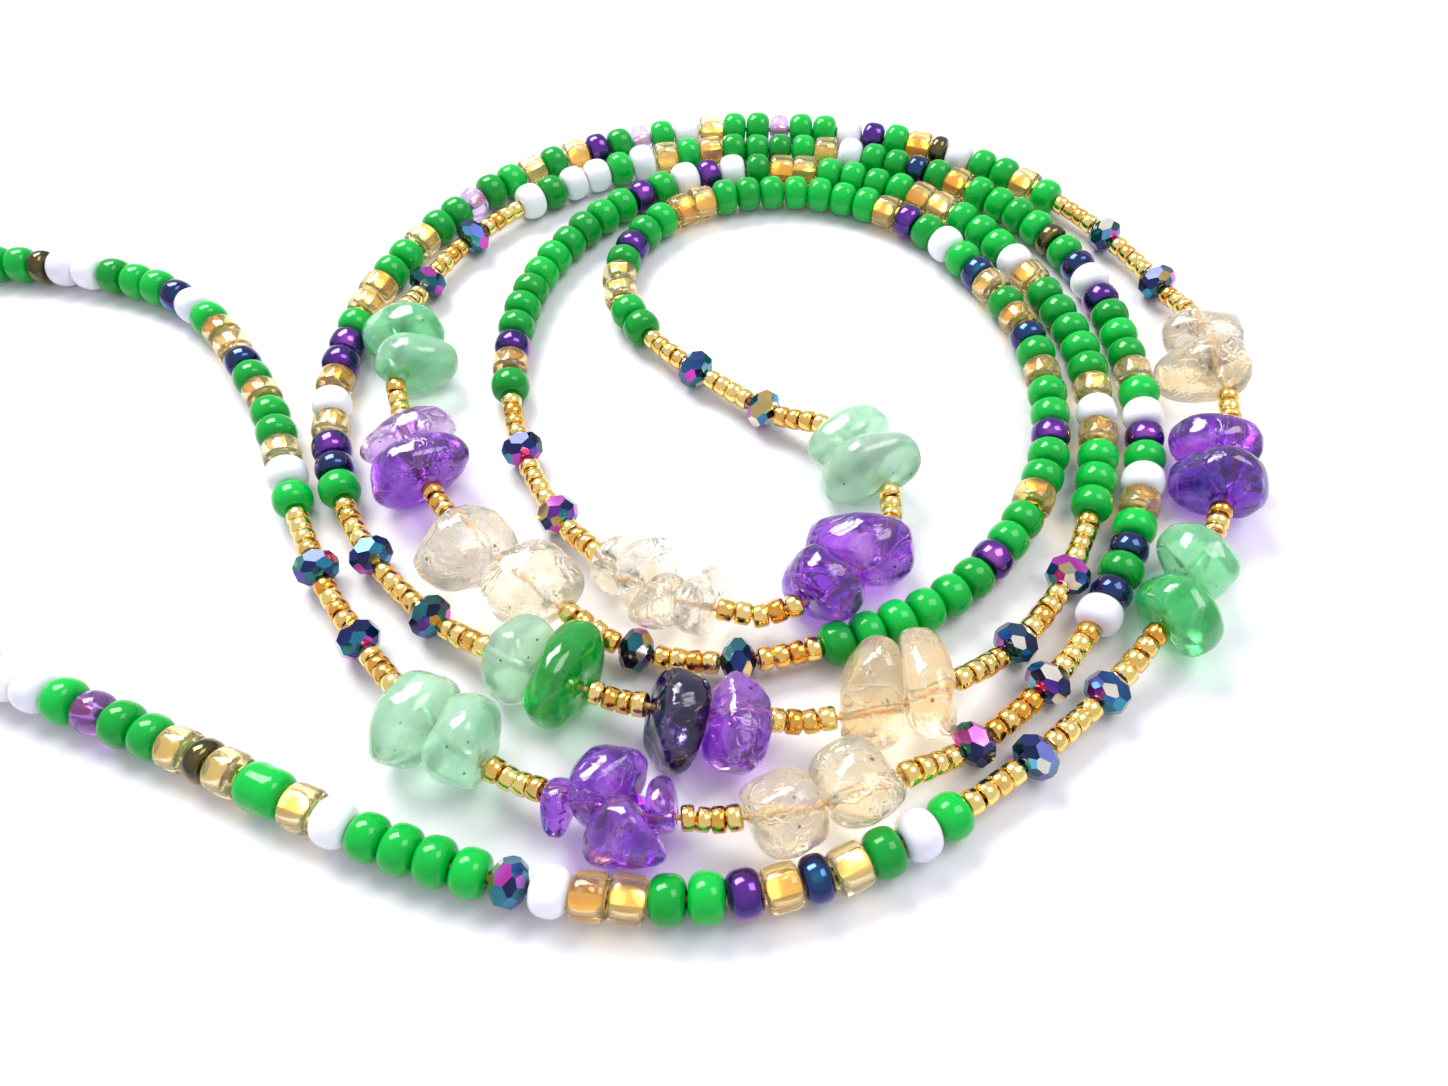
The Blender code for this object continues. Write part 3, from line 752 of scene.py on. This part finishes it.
def chip_cuts(local, chip):
    """A few planes that take soft flats off the chip, as (direction, distance) in its own axes."""
    cuts = []
    for _ in range(CHIP_CUTS):
        turn = local.uniform(0.0, 2.0 * math.pi)
        direction = Vector((local.uniform(-CUT_LEAN, CUT_LEAN), math.cos(turn), math.sin(turn))).normalized()
        reach = Vector((direction.x * chip.thickness, direction.y * chip.width, direction.z * chip.height)).length
        cuts.append((direction, reach / 2 * local.uniform(*CUT_DEPTHS)))
    return cuts


def shaped(p, chip, cuts, seed):
    """Presses the chip's soft flats and a slight waviness into a point of its skin, in its own axes."""
    local = Vector((p.x, p.y - chip.offset, p.z))
    for direction, distance in cuts:
        over = local.dot(direction) - distance
        if over > 0.0:
            local -= direction * (over * over / (over + CUT_SOFTNESS))
    broad = noise.noise(local * BROAD_WAVE_SCALE + Vector((seed * BROAD_WAVE_STEP, 0.0, 0.0)))
    fine = noise.noise(local * FINE_WAVE_SCALE + Vector((0.0, seed * FINE_WAVE_STEP, 0.0)))
    local *= WAVE_BASE + BROAD_WAVE * min(broad, BROAD_WAVE_LIMIT) + FINE_WAVE * fine
    return Vector((local.x, local.y + chip.offset, local.z))


class Strung:
    """All that is on the thread, gathered by kind, and the holes that the thread runs through."""

    def __init__(self, route):
        self.route = route
        self.rng = random.Random(RANDOM_START)
        self.batches = {kind: Batch() for kind in BEAD_KINDS}
        self.linings = Batch()
        self.crystal = crystal_form()
        self.counts = {}
        self.holes = []

    def tilted(self, centre, s, degrees):
        """A frame that leans a little off the thread at random, and is turned at random about it."""
        turn = frame_at(centre, self.route.direction(s))
        lean = Matrix.Rotation(math.radians(self.rng.uniform(-degrees, degrees)), 4, "Y")
        swing = Matrix.Rotation(math.radians(self.rng.uniform(-degrees, degrees)), 4, "Z")
        roll = Matrix.Rotation(self.rng.uniform(0.0, 2.0 * math.pi), 4, "X")
        return turn @ lean @ swing @ roll

    def add_bead(self, kind, start, end):
        middle = (start + end) / 2
        half = (end - start - BEAD_GAP) / 2 * self.rng.uniform(1.0 - SIZE_JITTER, 1.0)
        size = self.rng.uniform(1.0 - SIZE_JITTER, 1.0 + SIZE_JITTER)
        radius = BEAD_DIAMETER / 2 * BEAD_FORMS[kind][1] * size
        centre = self.route.at(middle)
        centre.z = max(radius, centre.z)
        place = self.tilted(centre, middle, BEAD_TILT)
        hole = GOLD_GLASS_HOLE_RADIUS if kind == "a" else HOLE_RADIUS
        points, faces = lathe(bead_profile(radius, half, hole, SQUARENESS[kind]), BEAD_SIDES)
        if kind == "G":
            points = [Vector((p.x, p.y * pinch(p.x / half), p.z * pinch(p.x / half))) for p in points]
        pick = self.rng.random()
        self.batches["g" if kind == "G" else kind].add([place @ p for p in points], faces, pick)
        if kind in LINED_KINDS:
            self.add_lining(kind, half * LINING_LENGTH, hole * LINING_FIT, place, pick)
        self.holes.append((middle, centre))

    def add_lining(self, kind, half, out, place, pick):
        """The gold lining in the hole of a clear bead."""
        profile = [(-half, out), (half, out), (half, out * LINING_WALL), (-half, out * LINING_WALL)]
        points, faces = lathe(profile, LINING_SIDES[kind])
        self.linings.add([place @ p for p in points], faces, pick)

    def add_crystal(self, start, end):
        middle = (start + end) / 2
        half = (end - start - BEAD_GAP) / 2
        radius = CRYSTAL_DIAMETER / 2 * self.rng.uniform(*CRYSTAL_SIZE_SHARES)
        centre = self.route.at(middle)
        centre.z = max(radius * CRYSTAL_SEAT, centre.z)
        place = self.tilted(centre, middle, CRYSTAL_TILT)
        points, faces = self.crystal
        marks = [self.rng.choice(FACET_MARKS) for _ in faces]
        sized = [place @ Vector((q.x * half, q.y * radius, q.z * radius)) for q in points]
        self.batches["X"].add(sized, faces, self.rng.random(), marks)
        self.holes.append((middle, centre))

    def add_stem(self, start, end):
        """A stem of small gold beads, with more of them where it is long."""
        count = max(SEEDS_PER_STEM, round((end - start) / SEED_LENGTH))
        step = (end - start) / count
        for k in range(count):
            middle = start + step * (k + 0.5)
            half = step / 2 * self.rng.uniform(*SEED_LENGTH_SHARES)
            radius = SEED_BELLY / 2 * self.rng.uniform(*SEED_SIZE_SHARES)
            centre = self.route.at(middle)
            place = self.tilted(centre, middle, SEED_TILT)
            profile = [(along * half, out * radius) for along, out in SEED_PROFILE]
            points, faces = lathe(profile, SEED_SIDES)
            self.batches["s"].add([place @ p for p in points], faces, self.rng.random())
            self.holes.append((middle, centre))

    def make_cluster(self, item, start, skins):
        """The stone chips of a cluster, each a piece of its own."""
        kind = CLUSTERS[item][0]
        bounds = chip_bounds(item, start)
        for place, (_, first, second) in enumerate(bounds):
            number = self.counts.get(kind, 0) + 1
            self.counts[kind] = number
            seed = item * RANDOM_STEP + number
            points, faces = chip_mesh(self.route, bounds, place, CHIP_TURN * number, seed)
            batch = Batch()
            batch.add(points, faces, TONES[kind][number - 1])
            piece = batch.make(f"{kind}_stone_{number:02d}", skins[kind])
            declare(piece, kind, f"{kind}_chip_{number:02d}")
            self.holes.append((first, self.route.at(first)))
            self.holes.append((second, self.route.at(second)))

    def string_all(self, spans, skins):
        """Lays everything on the thread in order. The small gold beads between two others make one stem."""
        index = 0
        while index < len(spans):
            item, low, high = spans[index]
            if item == "s":
                last = index
                while spans[last + 1][0] == "s":
                    last += 1
                self.add_stem(low, spans[last][2])
                index = last
            elif item == "X":
                self.add_crystal(low, high)
            elif isinstance(item, str):
                self.add_bead(item, low, high)
            else:
                self.make_cluster(item, low, skins)
            index += 1


def make_thread(route, holes):
    """One tube through every hole, from the clasp round to the clasp."""
    inside = CLASP_LENGTH / 2 - THREAD_IN_CLASP
    ends = [(inside, route.at(inside)), (route.length - inside, route.at(route.length - inside))]
    places = sorted(holes + ends, key=lambda item: item[0])
    radius = THREAD_DIAMETER / 2
    points = []
    for i, (_, centre) in enumerate(places):
        before = places[max(i - 1, 0)][1]
        after = places[min(i + 1, len(places) - 1)][1]
        place = frame_at(centre, (after - before).normalized())
        for k in range(THREAD_SIDES):
            angle = 2.0 * math.pi * k / THREAD_SIDES
            points.append(place @ Vector((0.0, math.cos(angle) * radius, math.sin(angle) * radius)))
    faces = quads(len(places), THREAD_SIDES, len(places) - 1) + caps(len(places), THREAD_SIDES)
    batch = Batch()
    batch.add(points, faces, PLAIN_PICK)
    declare(batch.make("thread_through_beads", thread_skin()), "glass_beads", *HALVES)


def make_clasp(route):
    """A barrel clasp: two caps that screw together, with a milled band and rounded ends."""
    half = CLASP_LENGTH / 2
    radius = CLASP_DIAMETER / 2 * math.cos(math.pi / CLASP_SIDES)
    cap = [(-half + inset, out) for inset, out in CLASP_MOUTH]
    cap += [(-half + inset, radius * share) for inset, share in CLASP_SHOULDER]
    cap += [(-away, radius * share) for away, share in CLASP_BAND]
    profile = cap + [(-along, out) for along, out in reversed(cap)]
    points, faces = lathe(profile, CLASP_TURN_SIDES, closed=False)
    for i, (along, out) in enumerate(profile):
        if abs(along) < MILLED_REACH and out >= radius * MILLED_FULL:
            for k in range(i * CLASP_TURN_SIDES, (i + 1) * CLASP_TURN_SIDES, 2):
                points[k] = Vector((points[k].x, points[k].y * MILLED_DEPTH, points[k].z * MILLED_DEPTH))
    faces += caps(len(profile), CLASP_TURN_SIDES)
    centre = route.at(0.0)
    centre.z = radius
    axis = route.at(half) - route.at(route.length - half)
    place = frame_at(centre, Vector((axis.x, axis.y, 0.0)).normalized())
    batch = Batch()
    batch.add([place @ p for p in points], faces, PLAIN_PICK)
    clasp = batch.make("clasp_barrel", gold("clasp_gold", CLASP_GOLD, CLASP_RELIEF, roughness=0.18))
    clasp.data.set_sharp_from_angle(angle=math.radians(CLASP_SHARP_ANGLE))
    declare(clasp, "clasp_metal", "barrel_clasp")


def material_of(name):
    """A new material, with its node tree and its Principled shader."""
    material = bpy.data.materials.new(name)
    material.use_nodes = True
    return material, material.node_tree, material.node_tree.nodes["Principled BSDF"]


def feed(tree, socket, value):
    """Links a socket to another, or sets it to a plain value."""
    if isinstance(value, bpy.types.NodeSocket):
        tree.links.new(value, socket)
    elif isinstance(value, tuple) and len(value) == 3 and socket.type == "RGBA":
        socket.default_value = (*value, 1.0)
    else:
        socket.default_value = value


def node(tree, kind, **values):
    """A node with its settings and sockets set by name."""
    made = tree.nodes.new(kind)
    for key, value in values.items():
        if key in made.inputs:
            feed(tree, made.inputs[key], value)
        else:
            setattr(made, key, value)
    return made


def set_shader(tree, shader, values):
    for name, value in values.items():
        feed(tree, shader.inputs[name], value)


def calculate(tree, operation, *values):
    """A Math node's result. Each value is a socket or a number."""
    made = node(tree, "ShaderNodeMath", operation=operation)
    for socket, value in zip(made.inputs, values):
        feed(tree, socket, value)
    return made.outputs[0]


def mix(tree, share, first, second, blend="MIX"):
    made = node(tree, "ShaderNodeMixRGB", blend_type=blend)
    for name, value in (("Fac", share), ("Color1", first), ("Color2", second)):
        feed(tree, made.inputs[name], value)
    return made.outputs[0]


def ramp(tree, source, stops):
    """A colour ramp fed by a socket. Stops are (place, (r, g, b))."""
    made = tree.nodes.new("ShaderNodeValToRGB")
    while len(made.color_ramp.elements) < len(stops):
        made.color_ramp.elements.new(1.0)
    for element, (place, colour) in zip(made.color_ramp.elements, stops):
        element.position = place
        element.color = (*colour, 1.0)
    tree.links.new(source, made.inputs["Fac"])
    return made.outputs["Color"]


def attribute(tree, name):
    return node(tree, "ShaderNodeAttribute", attribute_name=name).outputs["Fac"]


def object_place(tree):
    return tree.nodes.new("ShaderNodeTexCoord").outputs["Object"]


def position_noise(tree, scale, detail=2.0, distortion=0.0):
    made = node(tree, "ShaderNodeTexNoise", Scale=scale, Detail=detail, Distortion=distortion)
    tree.links.new(object_place(tree), made.inputs["Vector"])
    return made.outputs["Fac"]


def bump(tree, shader, height, distance, strength):
    made = node(tree, "ShaderNodeBump", Distance=distance, Strength=strength, Height=height)
    tree.links.new(made.outputs["Normal"], shader.inputs["Normal"])


def roughen(tree, shader, relief):
    """A fine unevenness of the skin."""
    height = position_noise(tree, relief.scale, relief.detail)
    bump(tree, shader, height, relief.distance, relief.strength)


def let_light_through(tree, shader, tint, share):
    """Lets a share of the light that falls on a clear piece through to the table, in the piece's tint."""
    clear = node(tree, "ShaderNodeBsdfTransparent", Color=tint)
    path = tree.nodes.new("ShaderNodeLightPath")
    mixed = node(tree, "ShaderNodeMixShader", Fac=calculate(tree, "MULTIPLY", path.outputs["Is Shadow Ray"], share))
    tree.links.new(shader.outputs["BSDF"], mixed.inputs[1])
    tree.links.new(clear.outputs["BSDF"], mixed.inputs[2])
    tree.links.new(mixed.outputs["Shader"], tree.nodes["Material Output"].inputs["Surface"])


def opaque_glass(name, colours, roughness, coat, subsurface):
    """Opaque glass whose colour drifts a little from bead to bead and inside each bead."""
    material, tree, shader = material_of(name)
    inside = position_noise(tree, OPAQUE_DRIFT_SCALE, detail=3.0)
    drift = calculate(tree, "MULTIPLY_ADD", inside, OPAQUE_DRIFT, attribute(tree, "pick"))
    set_shader(tree, shader, {
        "Base Color": ramp(tree, drift, colours),
        "Roughness": roughness,
        "Coat Weight": coat,
        "Coat Roughness": COAT_ROUGHNESS,
        "Specular IOR Level": OPAQUE_SPECULAR,
        "Subsurface Weight": subsurface,
        "Subsurface Radius": OPAQUE_SCATTER,
    })
    roughen(tree, shader, OPAQUE_RELIEF)
    return material


def iris_glass_and_painted_sheen(name, stops):
    """Glass with a metallic rainbow skin whose colour is partly painted light: the hue follows how far the surface
    faces up, and the angle of view, so faces that look up take a painted highlight, rims and undersides take a
    painted sheen, and the coat's own dark colour lies between.
    """
    material, tree, shader = material_of(name)
    split = tree.nodes.new("ShaderNodeSeparateXYZ")
    tree.links.new(tree.nodes.new("ShaderNodeNewGeometry").outputs["Normal"], split.inputs[0])
    # Painted sheen: the more the surface turns away from the view, the further the colour moves towards the ramp's
    # bright end
    painted_sheen_by_view = node(tree, "ShaderNodeLayerWeight", Blend=IRIS_BLEND).outputs["Facing"]
    # Painted highlight: faces that look up move back towards the ramp's bright start, and undersides move on towards
    # its bright end
    tilt = calculate(tree, "MULTIPLY_ADD", split.outputs["Z"], IRIS_PAINTED_HIGHLIGHT_UPWARD, painted_sheen_by_view)
    drift = calculate(tree, "MULTIPLY_ADD", attribute(tree, "pick"), IRIS_DRIFT, tilt)
    set_shader(tree, shader, {
        "Base Color": ramp(tree, calculate(tree, "ADD", drift, IRIS_START), stops),
        "Metallic": 0.85,
        "Roughness": 0.16,
        "Coat Weight": 0.6,
        "Coat Roughness": COAT_ROUGHNESS,
    })
    roughen(tree, shader, IRIS_RELIEF)
    return material


def clear_glass(name, colours, roughness, transmission):
    material, tree, shader = material_of(name)
    set_shader(tree, shader, {
        "Base Color": ramp(tree, attribute(tree, "pick"), colours),
        "Roughness": roughness,
        "Transmission Weight": transmission,
        "IOR": GLASS_IOR,
    })
    roughen(tree, shader, CLEAR_RELIEF)
    let_light_through(tree, shader, colours[-1][1], transmission * GLASS_LIGHT_SHARE)
    return material


def gold(name, colours, relief, roughness):
    """Gold with fine dark scratches, a little darker or lighter from bead to bead."""
    material, tree, shader = material_of(name)
    scratches = position_noise(tree, relief.scale, relief.detail)
    drift = calculate(tree, "MULTIPLY_ADD", scratches, GOLD_DRIFT, attribute(tree, "pick"))
    set_shader(tree, shader, {
        "Base Color": ramp(tree, drift, colours),
        "Metallic": 1.0,
        "Roughness": roughness,
        "Coat Weight": 0.15,
        "Coat Roughness": 0.05,
    })
    bump(tree, shader, scratches, relief.distance, relief.strength)
    return material


def crystal_skin():
    """Facets in rainbow metal, each with a colour of its own."""
    material, tree, shader = material_of("crystal_iris")
    inside = position_noise(tree, CRYSTAL_DRIFT_SCALE, detail=1.0)
    drift = calculate(tree, "MULTIPLY_ADD", inside, CRYSTAL_DRIFT, attribute(tree, "mark"))
    set_shader(tree, shader, {
        "Base Color": ramp(tree, drift, CRYSTAL_COLOURS),
        "Metallic": 0.9,
        "Roughness": 0.08,
        "Coat Weight": 0.5,
        "Coat Roughness": 0.02,
    })
    roughen(tree, shader, CRYSTAL_RELIEF)
    return material


def thread_skin():
    material, tree, shader = material_of("thread")
    set_shader(tree, shader, {
        "Base Color": ramp(tree, position_noise(tree, THREAD_FIBRE_SCALE), THREAD_FIBRES),
        "Roughness": 0.55,
    })
    roughen(tree, shader, THREAD_RELIEF)
    return material


def warped(tree):
    """Object coordinates bent by a soft noise."""
    coords = object_place(tree)
    bent = node(tree, "ShaderNodeTexNoise", Scale=WARP_SCALE, Detail=2.0, Vector=coords)
    return mix(tree, WARP_AMOUNT, coords, bent.outputs["Color"], "ADD")


def stone_veils(tree, look):
    """Where a stone's pale veils lie: along fractures in some patches, and in winding bands."""
    cracks = node(tree, "ShaderNodeTexVoronoi", feature="DISTANCE_TO_EDGE", Scale=look["fractures"])
    tree.links.new(warped(tree), cracks.inputs["Vector"])
    line = ramp(tree, cracks.outputs["Distance"], CRACK_LINES)
    patches = ramp(tree, position_noise(tree, CRACK_PATCH_SCALE, detail=1.0), CRACK_PATCHES)
    veins = ramp(tree, position_noise(tree, look["veins"], distortion=1.0), VEIN_BANDS)
    both = calculate(tree, "MAXIMUM", calculate(tree, "MULTIPLY", line, patches), veins)
    return calculate(tree, "MULTIPLY", both, look["veil"])


def stone_specks(tree, look):
    """Where a stone's small dark specks lie."""
    dots = node(tree, "ShaderNodeTexVoronoi", Scale=look["speck_scale"], Vector=object_place(tree))
    size = look["speck_size"]
    mask = ramp(tree, dots.outputs["Distance"], [(size * SPECK_HARDNESS, WHITE), (size, BLACK)])
    kept = ramp(tree, position_noise(tree, SPECK_PATCH_SCALE, detail=1.0), SPECK_PATCHES)
    return calculate(tree, "MULTIPLY", mask, kept)


def stone(name, look):
    """A polished see-through stone: a cloudy body that runs from deep to pale with the chip's own tone, veils
    along fractures, and small dark specks."""
    material, tree, shader = material_of(name)
    cloud = position_noise(tree, look["cloud_scale"], detail=4.0, distortion=1.4)
    body = ramp(tree, calculate(tree, "MULTIPLY_ADD", cloud, look["cloud"], attribute(tree, "pick")), look["body"])
    veils = stone_veils(tree, look)
    veiled = mix(tree, veils, body, look["veil_colour"])
    set_shader(tree, shader, {
        "Base Color": mix(tree, stone_specks(tree, look), veiled, look["speck_colour"]),
        "Transmission Weight": look["transmission"],
        "Roughness": look["roughness"],
        "IOR": look["ior"],
        "Coat Weight": 0.6,
        "Coat Roughness": COAT_ROUGHNESS,
        "Subsurface Weight": look["subsurface"],
        "Subsurface Radius": STONE_SCATTER,
    })
    waves = position_noise(tree, look["wave_scale"], detail=3.0, distortion=0.6)
    bump(tree, shader, calculate(tree, "MULTIPLY_ADD", veils, VEIL_HEIGHT, waves), look["waves"], STONE_BUMP)
    let_light_through(tree, shader, look["tint"], look["clear"])
    return material


def bead_pieces():
    """Each piece made of many beads: its name, its letter and its material."""
    return [
        ("green_beads", "g", opaque_glass("green_glass", GREEN_GLASS, roughness=0.16, coat=0.38, subsurface=0.0)),
        ("white_beads", "w", opaque_glass("white_glass", WHITE_GLASS, roughness=0.15, coat=1.0, subsurface=0.3)),
        ("gold_glass_beads", "a", clear_glass("gold_glass", GOLD_GLASS, roughness=0.03, transmission=0.93)),
        ("violet_beads", "p", iris_glass_and_painted_sheen("violet_iris_painted_sheen", VIOLET_IRIS_AND_PAINTED_SHEEN)),
        ("plum_bead", "P", clear_glass("plum_glass", PLUM_GLASS, roughness=0.03, transmission=0.9)),
        ("blue_beads", "b", iris_glass_and_painted_sheen("blue_iris_painted_sheen", BLUE_IRIS_AND_PAINTED_SHEEN)),
        ("olive_beads", "o", iris_glass_and_painted_sheen("olive_iris_painted_sheen", OLIVE_IRIS_AND_PAINTED_SHEEN)),
        ("lilac_beads", "l", clear_glass("lilac_glass", LILAC_GLASS, roughness=0.04, transmission=0.85)),
        ("crystals", "X", crystal_skin()),
        ("small_gold_beads", "s", gold("seed_gold", SEED_GOLD, GOLD_RELIEF, roughness=0.14)),
    ]


def make_beads():
    """Strings everything on the route, and makes the pieces."""
    route = Route(ROUTE)
    spans = lay_out(route)
    strung = Strung(route)
    strung.string_all(spans, {name: stone(f"{name}_stone", look) for name, look in STONES.items()})
    for name, kind, skin in bead_pieces():
        declare(strung.batches[kind].make(name, skin, smooth=kind != "X"), "glass_beads", *HALVES)
    lining = gold("hole_lining", LINING_GOLD, GOLD_RELIEF, roughness=0.25)
    declare(strung.linings.make("hole_linings", lining, smooth=False), "glass_beads", *HALVES)
    make_thread(route, strung.holes)
    make_clasp(route)


def make_floor():
    data = bpy.data.meshes.new("floor")
    h = FLOOR_HALF
    data.from_pydata([(-h, -h, 0.0), (h, -h, 0.0), (h, h, 0.0), (-h, h, 0.0)], [], [(0, 1, 2, 3)])
    material, tree, shader = material_of("white_table")
    set_shader(tree, shader, {"Base Color": FLOOR_COLOUR, "Roughness": 0.6})
    data.materials.append(material)
    floor = bpy.data.objects.new("floor", data)
    bpy.context.collection.objects.link(floor)


def make_light():
    world = bpy.data.worlds.new("studio")
    bpy.context.scene.world = world
    world.use_nodes = True
    sky = world.node_tree.nodes["Background"]
    sky.inputs["Color"].default_value = (*SKY_COLOUR, 1.0)
    sky.inputs["Strength"].default_value = SKY_STRENGTH
    for name, place, size, power, colour in LAMPS:
        light = bpy.data.lights.new(name, "AREA")
        light.shape = "RECTANGLE"
        light.size, light.size_y = size
        light.energy = power
        light.color = colour
        lamp = bpy.data.objects.new(name, light)
        lamp.location = place
        lamp.rotation_euler = (-Vector(place)).to_track_quat("-Z", "Y").to_euler()
        bpy.context.collection.objects.link(lamp)


def make_camera():
    """The camera that was fitted to the photograph, rolled a little."""
    lens = bpy.data.cameras.new("camera")
    lens.sensor_width = SENSOR_WIDTH
    lens.lens = FOCAL_PIXELS / IMAGE_WIDTH * SENSOR_WIDTH
    lens.clip_start = CAMERA_CLIP
    camera = bpy.data.objects.new("camera", lens)
    down = math.radians(CAMERA_DOWN)
    roll = math.radians(-CAMERA_ROLL)
    right = Vector((1.0, 0.0, 0.0))
    above = Vector((0.0, math.sin(down), math.cos(down)))
    image_right = right * math.cos(roll) - above * math.sin(roll)
    image_up = right * math.sin(roll) + above * math.cos(roll)
    turn = Matrix((image_right, image_up, image_right.cross(image_up))).transposed().to_4x4()
    camera.matrix_world = Matrix.Translation(CAMERA_AT) @ turn
    bpy.context.collection.objects.link(camera)
    bpy.context.scene.camera = camera
    bpy.context.scene.view_settings.view_transform = "Standard"


make_beads()
make_floor()
make_light()
make_camera()
